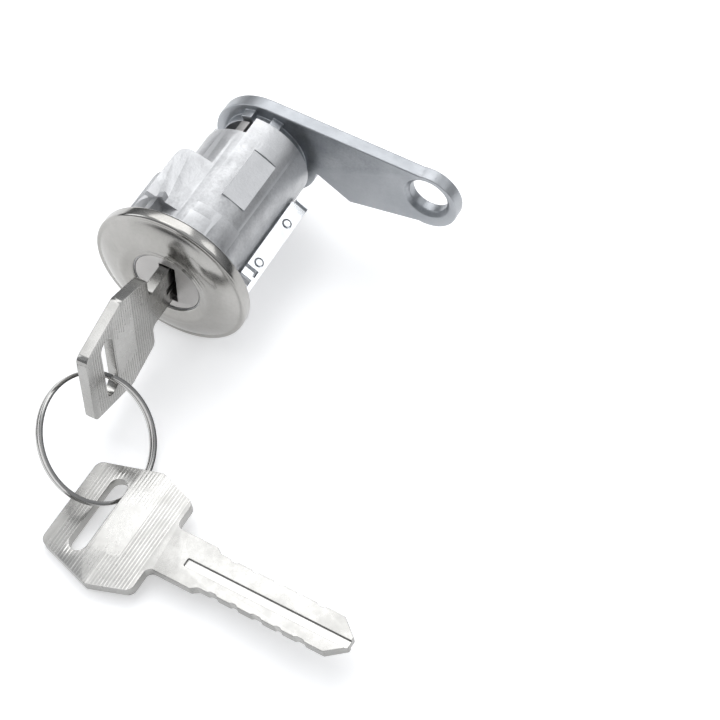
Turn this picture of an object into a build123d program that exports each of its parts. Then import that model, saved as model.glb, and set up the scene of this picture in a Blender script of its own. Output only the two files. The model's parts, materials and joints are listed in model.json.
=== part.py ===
from build123d import *
import os
from math import cos, radians, sin

os.makedirs("parts", exist_ok=True)

# Key-operated barrel lock with a rod lever, two keys and a split ring. Millimetres.
# The lock's axis is Y: the key goes in along +Y. The origin is on the axis, at the back
# of the flange, where the panel's face lies. Z is up and X is to the right of the user.
# Angles round the axis run from +X towards +Z, as the user sees them.

# ---- driving dimensions: barrel ------------------------------------------------------
BARREL_R = 10.4
BARREL_END = 31.5
FLANGE_R = 15.2
FLANGE_T = 1.8
BORE_R = 7.0
CAVITY_R = 9.3
CAVITY_START = 22.0
NOSE_R = 8.5
NOSE_FRONT = -3.9
REAR_CUT = (93.0, 165.0, 27.4)      # from angle, to angle, where it starts along Y
GROOVE_HALF_W = 4.1                  # wafer grooves above and below the bore
GROOVE_Y = (2.2, 21.8)
GROOVE_Z = (5.5, 8.1)

# ---- face cap ------------------------------------------------------------------------
CAP_R = 16.1
CAP_T = 0.7
CAP_HOLE_R = 7.2
CAP_CREST = -4.8
CAP_FACE = (-4.25, -3.98)            # front and back of the sheet at the hole
CAP_LIP_R = 9.6                      # crest of the raised lip round the plug
CAP_RIM = (-2.7, -0.5)               # front and rear of the rolled bead

# ---- fins, posts and pads on the barrel ----------------------------------------------
TROUGH_ANGLE = 150.0
FIN_INNER = 4.8
FIN_TOP = 13.6
FIN_TIP_T = 1.4
FIN_ROOT = ((7.9, 6.4), (7.0, 5.0))  # outer foot of a fin, across and up
FIN_CORNER_R = 2.4
FIN_Y = (5.0, 18.0)
WALL_HALF_ANGLE = 36.0               # curved wall that joins the fins in front
WALL_R = (9.8, 13.4)
WALL_T = 1.4
POST_Y = (0.0, 5.0)
POST_R = (9.8, 13.0)
POST_ANGLE = 26.5
POST_HALF_ANGLE = 3.5
CLIP_SLOT = (22.0, 1.6, 4.6, 8.9)    # half-angle, from y, to y, inner radius
COLLAR = ((35.0, 88.0, 8.3, 10.9), (62.0, 88.0, 5.6, 11.4))   # from angle, to angle, rear, radius
PAD_ANGLE = 59.5
PAD_Y = (12.4, 24.3)
PAD_HALF_W = 2.6
PAD_RISE = 0.15
PAD_GROOVE = 0.5                     # groove behind the pad

# ---- strip on the barrel's side ------------------------------------------------------
STRIP_ANGLE = 60.0                   # way the strip's broad face points, from +X towards +Z
STRIP_AT = (12.35, -1.15)            # middle of the broad face, X and Z
STRIP_HALF_W = 1.7
STRIP_T = 0.9
STRIP_Y = (4.9, 24.4)
STRIP_SLIT = (5.7, 6.5, 7.3)         # front of the short leg, front and rear of the cross slit
STRIP_SLIT_X = (0.4, 1.0)            # sides of the short leg
STRIP_SIDE_H = 2.4                   # flange bent down along the outer edge
STRIP_SIDE_FRONT = 0.6
CURL_R = (1.0, 1.9)
CURL_INSET = 0.6                     # the curl is narrower, to clear the barrel
SEAT_ROOT = ((9.1, -4.0), (9.4, 1.4))
RIVET_Y = (9.0, 19.7)
RIVET_R = 0.65
RIVET_Z = (-2.2, 0.1)
STRIP_HOLE_R = 1.0

# ---- plug ----------------------------------------------------------------------------
PLUG_R = 6.95
PLUG_FRONT = -3.1
PLUG_END = 27.6
TAIL_R = 5.2
TAIL_FLATS = 8.8
TAIL_END = 31.3
JOURNAL_R = 4.0
JOURNAL_END = 38.4
KEYWAY_W = 2.6
KEYWAY_H = 8.0
KEYWAY_MOUTH_H = 9.8
FACE_SLOT = (-1.35, 2.0)             # sides of the opening in the plug face
KEYWAY_END = 28.6
FACE_T = 0.8

# ---- wafers --------------------------------------------------------------------------
WAFER_COUNT = 8
WAFER_PITCH = 2.4
WAFER_FIRST = 3.6
WAFER_T = 1.2
WAFER_SLOT_T = 1.3
WAFER_HALF_W = 3.8
WAFER_R = 6.8
WAFER_WINDOW = (3.2, 8.3)
LUG_X = 4.8
SPRING_X = 4.35
SPRING_FAR_Z = 3.4

# ---- shutter -------------------------------------------------------------------------
SHUTTER_PIN = (3.2, -2.3)
SHUTTER_PIN_R = 0.4
SHUTTER_LEN = 4.0
SHUTTER_T = 0.5
SHUTTER_HALF_H = 3.9
SHUTTER_OPEN = 88.0

# ---- driver, lever and their fasteners -----------------------------------------------
DRIVER_Y = (27.8, 29.0, 31.2)
DRIVER_BASE_R = 7.5
DRIVER_BOSS_R = 9.1
BOSS_ANGLES = (72.0, 108.0)
BOSS_SPAN = 12.0
TONGUE_SPAN = 12.0
LEVER_Y = (33.6, 36.4)
LEVER_HUB_R = 11.2
HUB_RING_Y = 31.7
HUB_RING_R = 8.8
HUB_BOSS_R = 10.0
LEVER_BORE_R = 4.05
ROD_HOLE = (34.9, 4.25)
ROD_HOLE_R = 4.0
ROD_CHAMFER = 0.85
TIP = (34.7, 3.4)
TIP_R = 6.6
WASHER_Y = (36.5, 37.2)
CLIP_Y = (37.3, 38.0)
CLIP_GROOVE_R = 3.2

# ---- keys ----------------------------------------------------------------------------
KEY_T = 2.2
BOW_LEN = 20.7
BOW_WIDEST = 8.3
BOW_HALF = (9.9, 12.6, 9.1)          # half-widths at the shoulder, the widest place, the far edge
BOW_CORNER_R = 1.7
NECK_HALF = 4.6
NECK_FILLET = 1.2
STOP = (9.0, 10.3)                    # where the neck ends and the blade's full edge starts
BLADE_HALF = 3.75
BLADE_SHOULDER = 36.2
BLADE_TIP = 39.6
KEY_SLOT = (14.2, 15.8, 3.6)
GROOVE = (5.5, 0.5, 1.6, 0.5)        # start, offset across, width, depth
NOTCHES = ((13.2, 1.1), (17.6, 0.9), (22.4, 1.3), (26.9, 0.8), (31.4, 1.2))   # place and half-length
NOTCH_DEPTH = 0.3

KEY_1_SHOULDER = -11.25
KEY_2_SHOULDER = (24.83, -47.82, -12.089)
KEY_2_YAW = -4.063
KEY_2_PITCH = -5.412
KEY_2_ROLL = 5.981

# ---- split ring ----------------------------------------------------------------------
RING_MID_R = 12.0
RING_W = 0.86
RING_H = 1.66
RING_SEAM = 0.12
RING_CENTRE = (4.102, -35.943, -6.91)
RING_NORMAL = (0.942, 0.044, 1.0)


ON_END = (Align.CENTER, Align.CENTER, Align.MIN)


def save(name, shape):
    """Write one sub-part, named after its node."""
    shape.label = name
    export_step(shape, f"parts/{name}.step")


def ring(outer_r, inner_r, y0, y1):
    """A tube about the Y axis from y0 to y1."""
    tube = disc(outer_r, y0, y1)
    return tube - disc(inner_r, y0 - 1, y1 + 1) if inner_r else tube


def disc(radius, y0, y1):
    """A cylinder about the Y axis from y0 to y1."""
    return prism(Circle(radius), y0, y1)


def prism(sketch, y0, y1):
    """A sketch drawn in X and Z, extruded along Y from y0 to y1."""
    return extrude(Plane.XZ.offset(-y0) * sketch, amount=y1 - y0, dir=(0, 1, 0))


def block(x0, x1, y0, y1, z0, z1):
    """A box between two corners."""
    return Pos((x0 + x1) / 2, (y0 + y1) / 2, (z0 + z1) / 2) * Box(x1 - x0, y1 - y0, z1 - z0)


def polar(radius, angle):
    """X and Z of a point at an angle round the axis."""
    return radius * cos(radians(angle)), radius * sin(radians(angle))


def sector(outer_r, inner_r, a0, a1, y0, y1):
    """A piece of a tube between two angles."""
    reach = outer_r * 1.6
    middle = (a0 + a1) / 2
    wedge = Polygon((0, 0), polar(reach, a0), polar(reach, middle), polar(reach, a1), align=None)
    return ring(outer_r, inner_r, y0, y1) & prism(wedge, y0 - 1, y1 + 1)


def turned(shape, angle):
    """Turn a shape drawn pointing up so that it points at an angle round the axis."""
    return Rot(0, 90 - angle, 0) * shape


def spring(radius, wire, pitch, height):
    """A round-wire coil along Z from z = 0."""
    path = Helix(pitch, height, radius)
    section = Plane(origin=path @ 0, z_dir=path % 0) * Circle(wire / 2)
    return sweep(section, path=path, is_frenet=True)


# ======================================================================================
# Housing: die-cast barrel
# ======================================================================================
def make_fins():
    """Two tall parallel fins and the curved wall that joins them in front."""
    y0, y1 = FIN_Y
    profile = Polygon((FIN_INNER, 7.0), (FIN_INNER, FIN_TOP), (FIN_INNER + FIN_TIP_T, FIN_TOP),
                      *FIN_ROOT, align=None)
    fin = prism(profile, y0, y1)
    rear_top = fin.edges().filter_by(Axis.X).group_by(Axis.Y)[-1].group_by(Axis.Z)[-1]
    fin = fillet(rear_top, FIN_CORNER_R)
    inner_r, outer_r = WALL_R
    wall = sector(outer_r, inner_r, 90 - WALL_HALF_ANGLE, 90 + WALL_HALF_ANGLE, y0, y0 + WALL_T)
    return fin + mirror(fin, Plane.YZ) + wall


def make_posts():
    """Two short posts between the flange and the curved wall."""
    inner_r, outer_r = POST_R
    posts = [sector(outer_r, inner_r, 90 + s * POST_ANGLE - POST_HALF_ANGLE,
                    90 + s * POST_ANGLE + POST_HALF_ANGLE, *POST_Y) for s in (-1, 1)]
    return posts[0] + posts[1]


def on_strip(shape):
    """Place a shape drawn with the strip's broad face on z = 0 and the lock's side below."""
    x, z = STRIP_AT
    return Pos(x, 0, z) * Rot(0, 90 - STRIP_ANGLE, 0) * shape


def strip_corner(across, up):
    """X and Z of a point given across and above the strip's broad face."""
    along_x, along_z = polar(1.0, STRIP_ANGLE - 90)
    up_x, up_z = polar(1.0, STRIP_ANGLE)
    return STRIP_AT[0] + across * along_x + up * up_x, STRIP_AT[1] + across * along_z + up * up_z


def make_strip_seat():
    """Bed that carries the strip, rooted in the barrel."""
    inner_side = STRIP_HALF_W - STRIP_T
    corners = [strip_corner(-STRIP_HALF_W, -STRIP_T), strip_corner(inner_side, -STRIP_T),
               strip_corner(inner_side, -STRIP_SIDE_H)]
    return prism(Polygon(*corners, *SEAT_ROOT, align=None), *STRIP_Y)


def make_housing():
    body = disc(BARREL_R, -0.5, BARREL_END) + disc(FLANGE_R, -FLANGE_T, 0)
    body += disc(NOSE_R, NOSE_FRONT, 0)
    body += turned(make_fins() + make_posts(), TROUGH_ANGLE)
    half, y0, y1, inner_r = CLIP_SLOT
    body -= turned(sector(POST_R[1], inner_r, 90 - half, 90 + half, y0, y1), TROUGH_ANGLE)
    for a0, a1, rear, radius in COLLAR:
        body += sector(radius, 9.5, a0, a1, -0.5, rear)
    body += turned(block(-PAD_HALF_W, PAD_HALF_W, *PAD_Y, 8.8, BARREL_R + PAD_RISE), PAD_ANGLE)
    body -= turned(block(-PAD_HALF_W, PAD_HALF_W, PAD_Y[1], PAD_Y[1] + PAD_GROOVE, 9.9, 12.0), PAD_ANGLE)
    body += make_strip_seat()
    for y in RIVET_Y:
        body -= on_strip(Pos(0, y, RIVET_Z[0]) * Cylinder(RIVET_R + 0.02, 5.0, align=ON_END))
    # bore, rear cavity, and the cut-out at the rear where the lever's boss shows
    body -= disc(BORE_R, -10, 40)
    body -= disc(CAVITY_R, CAVITY_START, 40)
    a0, a1, start = REAR_CUT
    body -= sector(12.0, 6.0, a0, a1, start, 40)
    z_near, z_far = GROOVE_Z
    body -= block(-GROOVE_HALF_W, GROOVE_HALF_W, *GROOVE_Y, z_near, z_far)
    body -= block(-GROOVE_HALF_W, GROOVE_HALF_W, *GROOVE_Y, -z_far, -z_near)
    return body


# ======================================================================================
# Face cap: pressed stainless dome with a rolled rim
# ======================================================================================
def make_face_cap():
    """Revolved shell: raised lip round the plug, broad shallow dome and a rolled bead."""
    rim_in = CAP_R - CAP_T
    front, back = CAP_FACE
    bead_front, bead_rear = CAP_RIM
    bead_r = CAP_R - 0.55
    with BuildSketch() as profile:
        with BuildLine():
            Spline((CAP_HOLE_R, front), (CAP_LIP_R, CAP_CREST), (12.4, -4.25), (15.0, bead_front - 0.35),
                   tangents=((1.0, -0.7), (1.0, 0.42)))
            Line((15.0, bead_front - 0.35), (bead_r, bead_front - 0.1))
            ThreePointArc((bead_r, bead_front - 0.1), (CAP_R - 0.15, bead_front + 0.25),
                          (CAP_R, bead_front + 0.65))
            Line((CAP_R, bead_front + 0.65), (CAP_R, bead_rear - 0.4))
            ThreePointArc((CAP_R, bead_rear - 0.4), (CAP_R - 0.12, bead_rear - 0.12),
                          (CAP_R - 0.4, bead_rear))
            Line((CAP_R - 0.4, bead_rear), (rim_in, bead_rear))
            Line((rim_in, bead_rear), (rim_in, -2.0))
            Line((rim_in, -2.0), (14.6, -2.4))
            Line((14.6, -2.4), (12.0, -3.55))
            Line((12.0, -3.55), (9.4, back))
            Line((9.4, back), (CAP_HOLE_R, back))
            Line((CAP_HOLE_R, back), (CAP_HOLE_R, front))
        make_face()
    return revolve(profile.sketch, Axis.Y)


# ======================================================================================
# Plug and what it carries
# ======================================================================================
def make_plug():
    body = disc(PLUG_R, PLUG_FRONT, PLUG_END)
    flats = prism(Rectangle(20, TAIL_FLATS), PLUG_END - 1, TAIL_END)
    body += disc(TAIL_R, PLUG_END - 1, TAIL_END) & flats
    body += disc(JOURNAL_R, TAIL_END - 1, JOURNAL_END)
    body -= ring(6.0, CLIP_GROOVE_R, *CLIP_Y)
    body -= block(-KEYWAY_W / 2, KEYWAY_W / 2, -5, 0.3, -KEYWAY_MOUTH_H / 2, KEYWAY_MOUTH_H / 2)
    body -= block(-KEYWAY_W / 2, KEYWAY_W / 2, -5, KEYWAY_END, -KEYWAY_H / 2, KEYWAY_H / 2)
    # room for the shutter, its pin and its spring
    pin_x, pin_y = SHUTTER_PIN
    body -= block(-1.7, 4.5, -5, 2.6, -4.2, 4.2)
    body -= Pos(pin_x, pin_y, 0) * Cylinder(SHUTTER_PIN_R + 0.01, 10.4)
    for y in wafer_places():
        body -= block(-WAFER_HALF_W - 0.05, WAFER_HALF_W + 0.05,
                      y - WAFER_SLOT_T / 2, y + WAFER_SLOT_T / 2, -8, 8)
        body -= block(3.5, LUG_X + 0.15, y - WAFER_SLOT_T / 2, y + WAFER_SLOT_T / 2,
                      -SPRING_FAR_Z, SPRING_FAR_Z)
    return body


def make_plug_face():
    face = disc(PLUG_R - 0.05, PLUG_FRONT - FACE_T, PLUG_FRONT)
    x0, x1 = FACE_SLOT
    return face - block(x0, x1, -9, 0, -KEYWAY_MOUTH_H / 2, KEYWAY_MOUTH_H / 2)


def wafer_places():
    return [WAFER_FIRST + i * WAFER_PITCH for i in range(WAFER_COUNT)]


def wafer_side(index):
    """+1 for a wafer that springs up, -1 for one that springs down."""
    return 1 if index % 2 == 0 else -1


def make_wafer(index):
    """A flat plate with round ends, a window for the blade and a lug for its spring."""
    y = wafer_places()[index]
    outline = Circle(WAFER_R) & Rectangle(2 * WAFER_HALF_W, 20)
    outline += Pos((WAFER_HALF_W + LUG_X) / 2, 0) * Rectangle(LUG_X - WAFER_HALF_W, 1.0)
    outline -= Rectangle(*WAFER_WINDOW)
    return prism(outline, y - WAFER_T / 2, y + WAFER_T / 2)


def make_wafer_spring(index):
    """The coil between the wafer's lug and the end of its pocket."""
    y = wafer_places()[index]
    length = SPRING_FAR_Z - 0.5 - 0.3
    coil = spring(0.36, 0.2, length / 5, length)
    placed = Pos(SPRING_X, y, -SPRING_FAR_Z + 0.15) * coil
    return placed if wafer_side(index) > 0 else mirror(placed, Plane.XY)


def make_shutter():
    """Flap on its pin, folded back into the plug beside the blade."""
    pin_x, pin_y = SHUTTER_PIN
    barrel = Cylinder(0.75, 2 * SHUTTER_HALF_H)
    flap = block(-SHUTTER_LEN, 0, -SHUTTER_T / 2, SHUTTER_T / 2, -SHUTTER_HALF_H, SHUTTER_HALF_H)
    leaf = barrel + flap - Cylinder(SHUTTER_PIN_R + 0.05, 20)
    leaf -= block(-2, 2, -2, 2, 2.6, 5)
    return Pos(pin_x, pin_y, 0) * Rot(0, 0, -SHUTTER_OPEN) * leaf


def make_shutter_pin():
    return Pos(*SHUTTER_PIN, 0) * Cylinder(SHUTTER_PIN_R, 10.2)


def make_shutter_spring():
    """Small coil round the pin's upper end."""
    return Pos(*SHUTTER_PIN, 2.85) * spring(0.62, 0.24, 0.32, 0.96)


def make_return_spring():
    """Torsion spring round the plug in the rear cavity."""
    coil = spring(8.1, 1.0, 1.25, 3.75)
    return Pos(0, CAVITY_START + 0.6, 0) * Rot(-90, 0, 0) * coil


# ======================================================================================
# Driver, lever and the fasteners behind it
# ======================================================================================
def make_driver():
    y0, y1, y2 = DRIVER_Y
    body = disc(DRIVER_BASE_R, y0, y1)
    for angle in BOSS_ANGLES:
        body += sector(DRIVER_BOSS_R, TAIL_R + 0.3, angle - BOSS_SPAN / 2, angle + BOSS_SPAN / 2, y0, y2)
    tail = disc(TAIL_R, y0 - 1, y2 + 1) & prism(Rectangle(20, TAIL_FLATS), y0 - 1, y2 + 1)
    return body - tail


def make_lever():
    """Flat plate from the hub to the rod hole, with a hub ring and a tongue in front."""
    y0, y1 = LEVER_Y
    tip_x, tip_z = TIP
    plate = Polygon(
        (0.0, LEVER_HUB_R), (33.2, tip_z + TIP_R - 0.2), (tip_x + 1.0, tip_z),
        (33.6, -3.05), (18.4, -6.0), (11.0, -1.6), (0, -LEVER_HUB_R), align=None)
    body = prism(plate, y0, y1) + disc(LEVER_HUB_R, y0, y1)
    body += Pos(tip_x, 0, tip_z) * disc(TIP_R, y0, y1)
    body += disc(HUB_RING_R, HUB_RING_Y, y0)
    for angle in BOSS_ANGLES:
        body += sector(HUB_BOSS_R, 6.0, angle - 7, angle + 7, HUB_RING_Y, y0)
    body += sector(HUB_RING_R, 7.8, 90 - TONGUE_SPAN / 2, 90 + TONGUE_SPAN / 2, DRIVER_Y[1] + 0.2, y0)
    body -= disc(LEVER_BORE_R, 20, 50)
    hole_x, hole_z = ROD_HOLE
    body -= Pos(hole_x, 0, hole_z) * disc(ROD_HOLE_R, 20, 50)
    outer = ROD_HOLE_R + ROD_CHAMFER
    cone = revolve(Polygon((0, y0 - 0.1), (outer + 0.1, y0 - 0.1), (ROD_HOLE_R, y0 + ROD_CHAMFER),
                           (0, y0 + ROD_CHAMFER), align=None), Axis.Y)
    return body - Pos(hole_x, 0, hole_z) * cone


def make_washer():
    return ring(7.4, JOURNAL_R + 0.1, *WASHER_Y)


def make_clip():
    """Snap ring in the journal's groove, open at one side."""
    body = ring(5.6, CLIP_GROOVE_R, *CLIP_Y)
    return body - block(-1.7, 1.7, 30, 45, -8, 0)


# ======================================================================================
# Strip on the barrel's side
# ======================================================================================
def make_retaining_strip():
    """Flat strip with a flange bent down along its outer edge, a front slit and a rear curl."""
    y0, y1 = STRIP_Y
    leg_front, slit_front, slit_rear = STRIP_SLIT
    leg_x0, leg_x1 = STRIP_SLIT_X
    w = STRIP_HALF_W
    body = block(-w, w, y0, y1, -STRIP_T, 0)
    body += block(w - STRIP_T, w, STRIP_SIDE_FRONT, y1, -STRIP_SIDE_H, 0)
    inner_r, outer_r = CURL_R
    curl = Pos(0, y1, -outer_r) * Rot(0, 90, 0) * (Cylinder(outer_r, 2 * w) - Cylinder(inner_r, 3 * w))
    body += curl & block(CURL_INSET - w, w, y1, y1 + 3, -outer_r, 0.1)
    body -= block(-w, leg_x1, slit_front, slit_rear, -2, 1)
    body -= block(leg_x0, leg_x1, leg_front, slit_rear, -2, 1)
    for y in RIVET_Y:
        body -= Pos(0, y, 0) * Cylinder(STRIP_HOLE_R, 2 * STRIP_T + 0.2)
    return on_strip(body)


def make_rivets():
    """Two pins that stand up through the strip's holes."""
    low, high = RIVET_Z
    pins = [on_strip(Pos(0, y, low) * Cylinder(RIVET_R, high - low, align=ON_END)) for y in RIVET_Y]
    return Compound(children=pins)


# ======================================================================================
# Keys and ring
# ======================================================================================
def make_key():
    """Key in its own frame: shoulder at 0, bow towards +X, blade towards -X, flat in XY."""
    shoulder, widest, far = BOW_HALF
    half = [(BOW_LEN, far), (BOW_WIDEST, widest), (0, shoulder), (0, NECK_HALF),
            (-STOP[0], NECK_HALF), (-STOP[1], BLADE_HALF), (-BLADE_SHOULDER, BLADE_HALF),
            (-BLADE_TIP, 1.0)]
    outline = make_face(Polyline(*half, *[(x, -y) for x, y in reversed(half)], close=True))
    outline = fillet(outline.vertices().filter_by(lambda v: v.X > -0.1 and abs(v.Y) > NECK_HALF + 1),
                     BOW_CORNER_R)
    outline = fillet(outline.vertices().filter_by(lambda v: abs(v.X) < 0.1 and abs(v.Y) < NECK_HALF + 0.1),
                     NECK_FILLET)
    centre, length, width = KEY_SLOT
    outline -= Pos(centre, 0) * Rot(0, 0, 90) * SlotOverall(length, width)
    body = extrude(outline, amount=KEY_T / 2, both=True)
    start, offset, groove_w, depth = GROOVE
    for s in (-1, 1):
        z0, z1 = sorted((s * (KEY_T / 2 - depth), s * KEY_T))
        body -= block(-BLADE_TIP - 1, -start, s * offset - groove_w / 2, s * offset + groove_w / 2, z0, z1)
    for place, half_len in NOTCHES:
        top, bottom = BLADE_HALF + 0.1, BLADE_HALF - NOTCH_DEPTH
        notch = Polygon((-place - half_len, top), (-place - half_len / 2, bottom),
                        (-place + half_len / 2, bottom), (-place + half_len, top), align=None)
        cut = extrude(notch, amount=KEY_T, both=True)
        body -= cut + mirror(cut, Plane.XZ)
    return body


def place_key_1(key):
    frame = Plane(origin=(0, KEY_1_SHOULDER, 0), x_dir=(0, -1, 0), z_dir=(1, 0, 0))
    return frame.location * key


def place_key_2(key):
    turn = Location(KEY_2_SHOULDER) * Rot(0, 0, KEY_2_YAW) * Rot(0, KEY_2_PITCH, 0) * Rot(KEY_2_ROLL, 0, 0)
    return turn * Rot(0, 0, 180) * key


def make_split_ring():
    """Two flat coils side by side, with the seam between them."""
    with BuildSketch() as section:
        with Locations((RING_MID_R, 0)):
            RectangleRounded(RING_W, RING_H, 0.3)
    body = revolve(section.sketch, Axis.Y)
    seam = ring(RING_MID_R + 2, RING_MID_R + RING_W / 2 - 0.1, -RING_SEAM / 2, RING_SEAM / 2)
    body -= seam
    upright = Rot(90, 0, 0) * body
    return Plane(origin=RING_CENTRE, z_dir=RING_NORMAL).location * upright


# ======================================================================================
save("housing", make_housing())
save("face_cap", make_face_cap())
save("plug", make_plug())
save("plug_face", make_plug_face())
for number in range(WAFER_COUNT):
    save(f"wafer_{number + 1}", make_wafer(number))
    save(f"wafer_spring_{number + 1}", make_wafer_spring(number))
save("shutter", make_shutter())
save("shutter_pin", make_shutter_pin())
save("shutter_spring", make_shutter_spring())
save("return_spring", make_return_spring())
save("driver", make_driver())
save("lever", make_lever())
save("lever_washer", make_washer())
save("lever_clip", make_clip())
save("retaining_strip", make_retaining_strip())
save("strip_rivets", make_rivets())
plain_key = make_key()
save("key_1", place_key_1(plain_key))
save("key_2", place_key_2(plain_key))
save("split_ring", make_split_ring())
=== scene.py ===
import json
from itertools import product
from math import cos, pi, radians, sin

import bmesh
import bpy
from mathutils import Matrix, Vector


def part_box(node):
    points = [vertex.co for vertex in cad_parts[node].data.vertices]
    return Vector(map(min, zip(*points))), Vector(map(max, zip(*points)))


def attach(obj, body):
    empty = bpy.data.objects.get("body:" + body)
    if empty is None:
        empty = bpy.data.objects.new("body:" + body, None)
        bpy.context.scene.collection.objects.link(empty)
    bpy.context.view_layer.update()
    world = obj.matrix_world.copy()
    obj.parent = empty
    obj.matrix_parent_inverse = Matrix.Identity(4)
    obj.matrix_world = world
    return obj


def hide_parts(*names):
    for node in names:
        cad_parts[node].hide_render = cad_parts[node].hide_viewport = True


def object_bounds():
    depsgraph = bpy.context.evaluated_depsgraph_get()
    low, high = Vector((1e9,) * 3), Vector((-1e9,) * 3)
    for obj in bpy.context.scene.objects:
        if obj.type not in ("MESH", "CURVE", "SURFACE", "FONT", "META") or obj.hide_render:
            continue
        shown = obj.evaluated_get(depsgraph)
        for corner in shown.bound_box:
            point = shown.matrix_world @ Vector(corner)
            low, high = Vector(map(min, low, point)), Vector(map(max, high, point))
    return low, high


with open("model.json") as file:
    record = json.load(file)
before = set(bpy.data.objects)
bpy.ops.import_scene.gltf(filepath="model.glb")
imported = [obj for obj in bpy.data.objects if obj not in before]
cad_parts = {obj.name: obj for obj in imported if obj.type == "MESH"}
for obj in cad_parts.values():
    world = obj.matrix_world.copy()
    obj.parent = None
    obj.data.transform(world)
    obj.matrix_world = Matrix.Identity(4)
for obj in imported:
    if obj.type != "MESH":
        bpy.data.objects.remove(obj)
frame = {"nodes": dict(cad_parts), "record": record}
cad_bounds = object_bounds()

# Lengths below are in millimetres and turned into metres by MM. The lock's axis is Y,
# the face looks towards -Y and the lever lies behind the barrel.
MM = 0.001
FLOOR_Z = cad_bounds[0][2]

# ---- camera --------------------------------------------------------------------------
CAMERA_AT = Vector((0.1467, -0.2019, 0.3146))
CAMERA_TARGET = Vector((0.04011, -0.00267, 0.0))
CAMERA_LENS = 106.85
CAMERA_SENSOR = 36.0
CAMERA_CLIP_START = 0.01


def add_camera():
    data = bpy.data.cameras.new("camera")
    data.lens = CAMERA_LENS
    data.sensor_width = CAMERA_SENSOR
    data.clip_start = CAMERA_CLIP_START
    camera = bpy.data.objects.new("camera", data)
    camera.location = CAMERA_AT
    camera.rotation_euler = (CAMERA_TARGET - CAMERA_AT).to_track_quat("-Z", "Y").to_euler()
    bpy.context.scene.collection.objects.link(camera)
    bpy.context.scene.camera = camera


# ======================================================================================
# Node materials
# ======================================================================================
class Nodes:
    """A small helper that builds one material's node tree."""

    def __init__(self, name):
        self.material = bpy.data.materials.new(name)
        self.material.use_nodes = True
        self.tree = self.material.node_tree
        self.shader = self.tree.nodes["Principled BSDF"]
        self.coords = self.tree.nodes.new("ShaderNodeTexCoord")

    def add(self, kind, **values):
        node = self.tree.nodes.new(kind)
        for key, value in values.items():
            if key in node.inputs:
                node.inputs[key].default_value = value
            else:
                setattr(node, key, value)
        return node

    def link(self, source, target):
        self.tree.links.new(source, target)

    def noise(self, scale, detail=3.0, roughness=0.55, stretch=(1, 1, 1)):
        """Noise in object space, so that it sticks to the piece."""
        mapping = self.add("ShaderNodeMapping")
        mapping.inputs["Scale"].default_value = stretch
        self.link(self.coords.outputs["Object"], mapping.inputs["Vector"])
        texture = self.add("ShaderNodeTexNoise", Scale=scale, Detail=detail,
                           Roughness=roughness)
        self.link(mapping.outputs["Vector"], texture.inputs["Vector"])
        return texture.outputs["Fac"]

    def ramp(self, value, stops):
        """Colour or grey ramp from (place, colour) pairs."""
        node = self.add("ShaderNodeValToRGB")
        elements = node.color_ramp.elements
        while len(elements) < len(stops):
            elements.new(0.5)
        for element, (place, colour) in zip(elements, stops):
            element.position = place
            element.color = (*colour, 1.0) if len(colour) == 3 else colour
        self.link(value, node.inputs["Fac"])
        return node.outputs["Color"]

    def blend(self, factor, first, second, mode="MIX"):
        node = self.add("ShaderNodeMix", data_type="RGBA", blend_type=mode)
        if isinstance(factor, float):
            node.inputs["Factor"].default_value = factor
        else:
            self.link(factor, node.inputs["Factor"])
        self.link(first, node.inputs["A"])
        self.link(second, node.inputs["B"])
        return node.outputs["Result"]

    def bumps(self, *layers):
        """Chained bumps from (height, strength, distance in millimetres)."""
        previous = None
        for height, strength, distance in layers:
            node = self.add("ShaderNodeBump", Strength=strength, Distance=distance * MM)
            self.link(height, node.inputs["Height"])
            if previous:
                self.link(previous, node.inputs["Normal"])
            previous = node.outputs["Normal"]
        self.link(previous, self.shader.inputs["Normal"])

    def edges(self, flat, edge):
        """Two (pointiness, colour) pairs: one for flat faces and one for outer edges."""
        geometry = self.add("ShaderNodeNewGeometry")
        return self.ramp(geometry.outputs["Pointiness"], [flat, edge])


def grey(value):
    return (value, value, value)


CAST_METALLIC = 0.85
SHEET_METALLIC = 1.0
WORN_EDGE_GAIN = 1.18


def cast_metal(name, dark, light, rough, grain=1.0):
    """Zinc die casting: cloudy colour, tumbled grain, worn bright edges."""
    n = Nodes(name)
    clouds = n.noise(140, 4)
    speckle = n.noise(1900, 5, 0.65)
    fine = n.noise(5200, 3, 0.6)
    base = n.ramp(clouds, [(0.32, dark), (0.68, light)])
    spots = n.ramp(speckle, [(0.36, grey(0.82)), (0.60, grey(1.0))])
    colour = n.blend(0.75, base, spots, "MULTIPLY")
    edge = n.edges((0.50, grey(0.0)), (0.56, grey(1.0)))
    worn = tuple(min(1.0, c * WORN_EDGE_GAIN) for c in light)
    bright = n.ramp(speckle, [(0.0, worn), (1.0, light)])
    n.link(n.blend(edge, colour, bright), n.shader.inputs["Base Color"])
    rough_map = n.ramp(n.noise(420, 4), [(0.30, grey(rough[0])), (0.72, grey(rough[1]))])
    n.link(rough_map, n.shader.inputs["Roughness"])
    n.shader.inputs["Metallic"].default_value = CAST_METALLIC
    n.bumps((clouds, 0.30 * grain, 0.35), (speckle, 0.42 * grain, 0.10),
            (fine, 0.30 * grain, 0.03))
    return n.material


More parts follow.
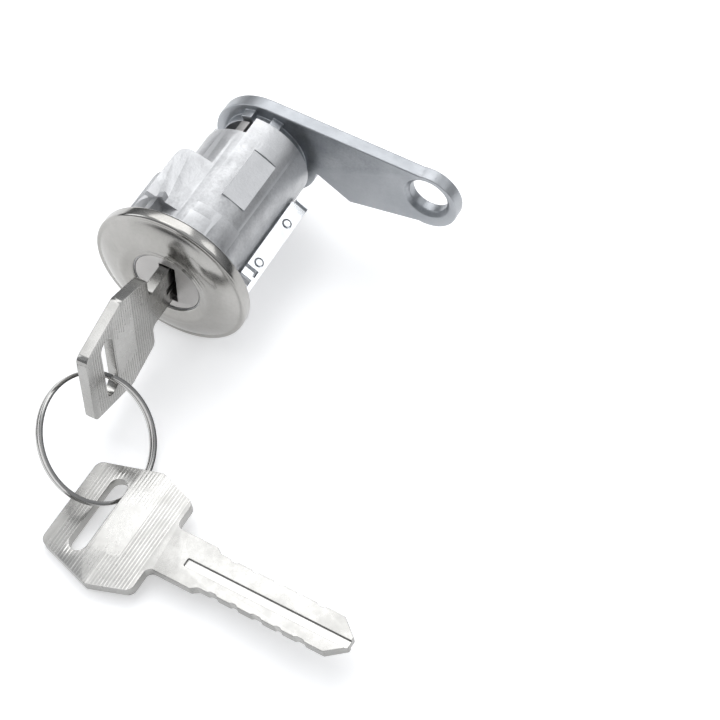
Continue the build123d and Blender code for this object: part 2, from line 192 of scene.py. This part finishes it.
def sheet_metal(name, dark, light, rough, stretch=(1, 1, 1), scratch=0.25, rim=1.0):
    """Rolled or plated metal: soft clouds, fine drawn lines, and outer edges darkened by the
    factor rim, a painted shade along the edges.
    """
    n = Nodes(name)
    clouds = n.noise(90, 3)
    lines = n.noise(1400, 4, 0.6, stretch)
    base = n.ramp(clouds, [(0.30, dark), (0.70, light)])
    streak = n.ramp(lines, [(0.30, grey(0.90)), (0.62, grey(1.0))])
    colour = n.blend(0.6, base, streak, "MULTIPLY")
    # painted shade: outer edges are darkened by the factor rim; 1.0 leaves them as they are
    edges = n.edges((0.51, grey(1.0)), (0.56, grey(rim)))
    n.link(n.blend(1.0, colour, edges, "MULTIPLY"), n.shader.inputs["Base Color"])
    worn = n.ramp(n.noise(260, 5, 0.6), [(0.30, grey(rough[0])), (0.75, grey(rough[1]))])
    n.link(worn, n.shader.inputs["Roughness"])
    n.shader.inputs["Metallic"].default_value = SHEET_METALLIC
    n.bumps((clouds, 0.12, 0.12), (lines, scratch, 0.012))
    return n.material


DRAWN_ALONG_Y = (1.0, 0.06, 1.0)
# slot: maker, dark colour, light colour, (least, most) roughness, further settings
LOOKS = {
    "cast_zinc": (cast_metal, (0.43, 0.435, 0.445), (0.62, 0.625, 0.635), (0.34, 0.50),
                  {"grain": 1.5}),
    # lever_zinc is the same zinc casting as cast_zinc, painted darker: painted shade for the
    # lever's face, which lies below the barrel and mirrors the dark surroundings
    "lever_zinc": (cast_metal, (0.27, 0.29, 0.315), (0.42, 0.435, 0.455), (0.28, 0.42), {}),
    "plug_zinc": (cast_metal, (0.38, 0.37, 0.36), (0.48, 0.47, 0.46), (0.28, 0.42),
                  {"grain": 0.6}),
    "cap_steel": (sheet_metal, (0.37, 0.362, 0.345), (0.46, 0.452, 0.435), (0.13, 0.24), {}),
    "strip_steel": (sheet_metal, (0.80, 0.82, 0.85), (0.92, 0.94, 0.96), (0.18, 0.32),
                    {"stretch": DRAWN_ALONG_Y}),
    "spring_steel": (sheet_metal, (0.42, 0.42, 0.43), (0.58, 0.58, 0.60), (0.22, 0.35), {}),
    "ring_steel": (sheet_metal, (0.48, 0.475, 0.465), (0.62, 0.615, 0.60), (0.10, 0.20), {}),
    # key_nickel: rim 0.68 paints shade along the keys' outer edges
    "key_nickel": (sheet_metal, (0.45, 0.445, 0.43), (0.55, 0.545, 0.53), (0.20, 0.34),
                   {"scratch": 0.5, "rim": 0.68}),
    "wafer_brass": (sheet_metal, (0.62, 0.46, 0.20), (0.78, 0.62, 0.32), (0.28, 0.42), {}),
}
MATERIALS = {slot: maker(slot, dark, light, rough, **more)
             for slot, (maker, dark, light, rough, more) in LOOKS.items()}
SLOT_OF = {row["node"]: row["material_slot"] for row in frame["record"]["subparts"]}
BODY_OF = {node: body for body, nodes in frame["record"]["behaviour"]["bodies"].items()
           for node in nodes}


# ======================================================================================
# Mesh helpers
# ======================================================================================
SHARP_ANGLE = 32.0  # degrees: edges that turn by more are sharp, and are rounded
WELD_DISTANCE = 0.002
FLAT_ANGLE = 0.6  # degrees: faces that turn by less are joined
BEVEL_SEGMENTS = 2
FLAT_FACE_WEIGHT = 80


def link_mesh(name, bm):
    mesh = bpy.data.meshes.new(name)
    bm.to_mesh(mesh)
    bm.free()
    obj = bpy.data.objects.new(name, mesh)
    bpy.context.scene.collection.objects.link(obj)
    return obj


def shade(bm, limit=SHARP_ANGLE):
    """Smooth faces, with sharp edges where the surface turns by more than the limit."""
    for face in bm.faces:
        face.smooth = True
    for edge in bm.edges:
        edge.smooth = len(edge.link_faces) == 2 and edge.calc_face_angle(pi) < radians(limit)


def finish_piece(obj, node):
    """Material, slot and body of the CAD node that the piece stands for."""
    slot = SLOT_OF[node]
    obj.data.materials.clear()
    obj.data.materials.append(MATERIALS[slot])
    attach(obj, BODY_OF[node])
    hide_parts(node)
    return obj


def copy_of(node):
    """A clean copy of a CAD node's mesh, with flat faces joined up."""
    bm = bmesh.new()
    bm.from_mesh(frame["nodes"][node].data)
    bmesh.ops.remove_doubles(bm, verts=bm.verts, dist=WELD_DISTANCE * MM)
    bmesh.ops.dissolve_limit(bm, angle_limit=radians(FLAT_ANGLE), verts=bm.verts,
                             edges=bm.edges)
    return bm


def settle(obj):
    """Make the modifiers' result the object's own mesh."""
    depsgraph = bpy.context.evaluated_depsgraph_get()
    mesh = bpy.data.meshes.new_from_object(obj.evaluated_get(depsgraph))
    obj.modifiers.clear()
    bm = bmesh.new()
    bm.from_mesh(mesh)
    shade(bm)
    bm.to_mesh(mesh)
    bm.free()
    obj.data = mesh


def cut_with(obj, cutter):
    """Cut a mesh with another one, which is then thrown away."""
    change = obj.modifiers.new("cut", "BOOLEAN")
    change.operation = "DIFFERENCE"
    change.solver = "EXACT"
    change.object = cutter
    settle(obj)
    bpy.data.objects.remove(cutter)


def add_box(bm, placing, low, high):
    """A box between two corners, in millimetres of the placing's own frame."""
    corners = product(*zip(low, high))
    verts = [bm.verts.new((placing @ Vector(c)) * MM) for c in corners]
    for face in ((0, 1, 3, 2), (4, 6, 7, 5), (0, 4, 5, 1), (2, 3, 7, 6), (0, 2, 6, 4),
                 (1, 5, 7, 3)):
        bm.faces.new([verts[i] for i in face])


def soften(obj, width):
    """Round the sharp edges, as casting and tumbling leave them."""
    bevel = obj.modifiers.new("edges", "BEVEL")
    bevel.width = width * MM
    bevel.segments = BEVEL_SEGMENTS
    bevel.limit_method = "ANGLE"
    bevel.angle_limit = radians(SHARP_ANGLE)
    bevel.use_clamp_overlap = True
    bevel.miter_outer = "MITER_ARC"
    bevel.harden_normals = True
    flatten(obj)


def flatten(obj):
    """Let large faces set the shading, so that they stay flat beside rounded edges."""
    weighting = obj.modifiers.new("normals", "WEIGHTED_NORMAL")
    weighting.mode = "FACE_AREA"
    weighting.weight = FLAT_FACE_WEIGHT
    weighting.keep_sharp = True


def rounded_copy(node, width):
    """A replacement for a CAD node, with its edges rounded over the width in millimetres."""
    bm = copy_of(node)
    shade(bm)
    obj = link_mesh(f"{node}_finish", bm)
    soften(obj, width)
    return finish_piece(obj, node)


def lathe(profile, steps):
    """Closed ring from (radius, y) points in millimetres, turned about Y."""
    bm = bmesh.new()
    rows = []
    for i in range(steps):
        a = 2 * pi * i / steps
        rows.append([bm.verts.new((r * cos(a) * MM, y * MM, r * sin(a) * MM))
                     for r, y in profile])
    count = len(profile)
    for i in range(steps):
        a, b = rows[i], rows[(i + 1) % steps]
        for j in range(count):
            k = (j + 1) % count
            bm.faces.new((a[j], b[j], b[k], a[k]))
    bmesh.ops.recalc_face_normals(bm, faces=bm.faces)
    return bm


# ======================================================================================
# Pieces
# ======================================================================================
CAP_STEPS = 200
CAP_SHARP_ANGLE = 40
# (radius, y) points, from the hole round the plug outwards
CAP_LIP = [(7.2, -3.99), (7.2, -4.12), (7.32, -4.26), (7.6, -4.36), (8.0, -4.40), (8.4, -4.50),
           (8.8, -4.66), (9.2, -4.77)]
CAP_CREST_R = 9.6
CAP_DOME = [(10.0, -4.77), (10.3, -4.68), (10.6, -4.62), (11.3, -4.50), (12.2, -4.28),
            (13.1, -3.97), (14.0, -3.56), (14.6, -3.24), (15.0, -3.0), (15.18, -2.92),
            (15.26, -2.94)]
CAP_BEAD_AT = (15.55, -2.35)
CAP_BEAD_R = (0.55, 0.62)
CAP_BEAD_ANGLES = [-14 + 13 * i for i in range(9)]
# (distance in from the rim, y), down the side to the rolled edge
CAP_SIDE = [(0, -2.0), (0, -0.95), (0.05, -0.72), (0.16, -0.56), (0.36, -0.5)]
CAP_INSIDE = [(15.4, -0.5), (15.4, -2.0), (14.6, -2.4), (12.0, -3.55), (9.4, -3.98)]


def make_face_cap():
    """Drawn cap: lip round the plug, broad dome, fine crease and a rolled bead at the rim."""
    low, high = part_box("face_cap")
    rim = high.x / MM
    crest = low.y / MM
    bead = [(CAP_BEAD_AT[0] + CAP_BEAD_R[0] * sin(a), CAP_BEAD_AT[1] - CAP_BEAD_R[1] * cos(a))
            for a in map(radians, CAP_BEAD_ANGLES)]
    side = [(rim - inset, y) for inset, y in CAP_SIDE]
    bm = lathe(CAP_LIP + [(CAP_CREST_R, crest)] + CAP_DOME + bead + side + CAP_INSIDE, CAP_STEPS)
    shade(bm, CAP_SHARP_ANGLE)
    return finish_piece(link_mesh("face_cap_finish", bm), "face_cap")


RING_MID_R = 12.0
RING_CENTRE = Vector((4.102, -35.943, -6.91))
RING_NORMAL = Vector((0.942, 0.044, 1.0)).normalized()
RING_SHARP_ANGLE = 50
RING_TURNS = 2
RING_STEPS = 150  # per turn
RING_START = 200  # degrees
WIRE_W, WIRE_H = 0.82, 0.76
WIRE_GAP = 0.07
WIRE_SIDES = 12
WIRE_SQUARENESS = 0.55
STEP_FROM, STEP_LENGTH = 0.93, 0.14  # in turns


def wire_section():
    """Rounded square wire, as (outwards, along the ring's normal) points."""
    section = []
    for i in range(WIRE_SIDES):
        a = 2 * pi * (i + 0.5) / WIRE_SIDES
        shrink = max(abs(cos(a)), abs(sin(a))) ** WIRE_SQUARENESS
        section.append((cos(a) / shrink * WIRE_W / 2, sin(a) / shrink * WIRE_H / 2))
    return section


def make_split_ring():
    """Flat-sided spring wire wound twice, with a short crossing where it steps over."""
    across = RING_NORMAL.cross(Vector((0, 0, 1))).normalized()
    up = RING_NORMAL.cross(across)
    bm = bmesh.new()
    section = wire_section()
    loops = []
    for i in range(RING_TURNS * RING_STEPS + 1):
        t = i / RING_STEPS
        a = radians(RING_START) + 2 * pi * t
        # the wire stays in its own layer and crosses over a short stretch in the middle
        step = min(1.0, max(0.0, (t - STEP_FROM) / STEP_LENGTH))
        layer = (step * step * (3 - 2 * step) - 0.5) * (WIRE_H + WIRE_GAP)
        radial = across * cos(a) + up * sin(a)
        centre = RING_CENTRE + radial * RING_MID_R + RING_NORMAL * layer
        loops.append([bm.verts.new((centre + radial * x + RING_NORMAL * y) * MM)
                      for x, y in section])
    for first, second in zip(loops, loops[1:]):
        for j in range(WIRE_SIDES):
            k = (j + 1) % WIRE_SIDES
            bm.faces.new((first[j], first[k], second[k], second[j]))
    bm.faces.new(loops[0])
    bm.faces.new(loops[-1])
    bmesh.ops.recalc_face_normals(bm, faces=bm.faces)
    shade(bm, RING_SHARP_ANGLE)
    return finish_piece(link_mesh("split_ring_finish", bm), "split_ring")


KEY_T = 2.2
# a key's own frame: u from the shoulder into the bow, v across it and w through its thickness
KEY_1_PLACE = Matrix(((0, 0, 1, 0), (-1, 0, 0, -11.25), (0, -1, 0, 0), (0, 0, 0, 1)))
KEY_2_PLACE = (Matrix.Translation((24.83, -47.82, -12.089))
               @ Matrix.Rotation(radians(-4.063), 4, "Z")
               @ Matrix.Rotation(radians(-5.412), 4, "Y")
               @ Matrix.Rotation(radians(5.981), 4, "X")
               @ Matrix.Rotation(pi, 4, "Z"))
RIB_PITCH = 0.66
RIB_W = 0.26
RIB_DEPTH = 0.035
RIB_MARGIN = 0.8  # plain strip at each end of the bow
RIB_REACH = 14.0  # past the bow's edges
WORN_FROM, WORN_TO = 5.5, 11.5  # ribs between these are rubbed away in the middle
BOW_LEN = 20.7
KEY_EDGE = 0.16


def make_key(node, place):
    """The key with its edges eased and fine grooves rolled across both faces of the bow."""
    key = rounded_copy(node, KEY_EDGE)
    settle(key)
    bm = bmesh.new()
    groove = KEY_T / 2 - RIB_DEPTH
    for i in range(int((BOW_LEN - 2 * RIB_MARGIN) / RIB_PITCH)):
        u = RIB_MARGIN + i * RIB_PITCH
        spans = [(-RIB_REACH, RIB_REACH)]
        if WORN_FROM < u < WORN_TO:
            spans = [(-RIB_REACH, -4.6 - 0.6 * (i % 3)), (4.2 + 0.5 * (i % 4), RIB_REACH)]
        for v0, v1 in spans:
            add_box(bm, place, (u, v0, groove), (u + RIB_W, v1, KEY_T))
            add_box(bm, place, (u, v0, -KEY_T), (u + RIB_W, v1, -groove))
    bmesh.ops.recalc_face_normals(bm, faces=bm.faces)
    cut_with(key, link_mesh("rib_cutter", bm))
    flatten(key)
    return key


FLOOR_HALF = 3.0
FLOOR_PAINTED_GLOW = 0.38


def add_floor():
    """A plain pale sheet with an even painted glow, which whitens it and fades the shadows cast
    on it.
    """
    bm = bmesh.new()
    corners = [(-FLOOR_HALF, -FLOOR_HALF), (FLOOR_HALF, -FLOOR_HALF), (FLOOR_HALF, FLOOR_HALF),
               (-FLOOR_HALF, FLOOR_HALF)]
    bm.faces.new([bm.verts.new((x, y, FLOOR_Z)) for x, y in corners])
    floor = link_mesh("floor", bm)
    n = Nodes("floor_white")
    tone = n.ramp(n.noise(3, 2), [(0.3, (0.90, 0.90, 0.905)), (0.7, (0.92, 0.92, 0.925))])
    n.link(tone, n.shader.inputs["Base Color"])
    n.shader.inputs["Roughness"].default_value = 0.7
    n.shader.inputs["Specular IOR Level"].default_value = 0.2
    # painted light: the floor glows though it is no lamp, which lightens its shadows and the
    # floor seen in the metal
    n.shader.inputs["Emission Color"].default_value = (1.0, 1.0, 1.0, 1.0)
    n.shader.inputs["Emission Strength"].default_value = FLOOR_PAINTED_GLOW
    floor.data.materials.append(n.material)


# name, direction from the aim, distance, (width, height) in metres, watts, colour
LIGHT_AIM = Vector((0.02, -0.01, 0.0))
WHITE = (1, 1, 1)
SOFTBOXES = [
    ("main_softbox", (-0.275, 0.514, 0.812), 0.85, (0.75, 0.55), 2.2, WHITE),
    ("right_softbox", (0.569, 0.514, 0.657), 0.8, (0.26, 0.26), 0.30, WHITE),
    ("top_softbox", (-0.275, 0.03, 0.95), 0.9, (0.55, 0.45), 1.1, WHITE),
    ("left_softbox", (-0.82, -0.14, 0.40), 1.0, (0.5, 0.4), 1.0, (0.96, 0.98, 1.0)),
]
# (place up the sky, colour): dark at the horizon and white overhead
SKY = [(0.04, (0.06, 0.063, 0.068)), (0.75, (0.95, 0.97, 1.0))]
SKY_STRENGTH = 0.7


def add_softbox(name, direction, distance, size, watts, colour):
    data = bpy.data.lights.new(name, "AREA")
    data.shape = "RECTANGLE"
    data.size, data.size_y = size
    data.energy = watts
    data.color = colour
    light = bpy.data.objects.new(name, data)
    light.location = LIGHT_AIM + Vector(direction) * distance
    light.rotation_euler = (LIGHT_AIM - light.location).to_track_quat("-Z", "Y").to_euler()
    bpy.context.scene.collection.objects.link(light)


def add_sky():
    world = bpy.data.worlds.new("studio")
    world.use_nodes = True
    tree = world.node_tree
    background = tree.nodes["Background"]
    coords = tree.nodes.new("ShaderNodeTexCoord")
    split = tree.nodes.new("ShaderNodeSeparateXYZ")
    ramp = tree.nodes.new("ShaderNodeValToRGB")
    tree.links.new(coords.outputs["Generated"], split.inputs["Vector"])
    tree.links.new(split.outputs["Z"], ramp.inputs["Fac"])
    tree.links.new(ramp.outputs["Color"], background.inputs["Color"])
    for element, (place, colour) in zip(ramp.color_ramp.elements, SKY):
        element.position = place
        element.color = (*colour, 1.0)
    background.inputs["Strength"].default_value = SKY_STRENGTH
    bpy.context.scene.world = world


def finish_cad_nodes():
    """Materials on the CAD nodes that stay."""
    for name, node in frame["nodes"].items():
        node.data.materials.clear()
        node.data.materials.append(MATERIALS[SLOT_OF[name]])


# width in millimetres over which each piece's edges are rounded
EDGE_WIDTHS = {"housing": 0.22, "lever": 0.28, "plug_face": 0.10, "retaining_strip": 0.12}

add_camera()
finish_cad_nodes()
make_face_cap()
make_split_ring()
for node, width in EDGE_WIDTHS.items():
    rounded_copy(node, width)
make_key("key_1", KEY_1_PLACE)
make_key("key_2", KEY_2_PLACE)
add_floor()
for softbox in SOFTBOXES:
    add_softbox(*softbox)
add_sky()
bpy.context.scene.view_settings.view_transform = "Standard"
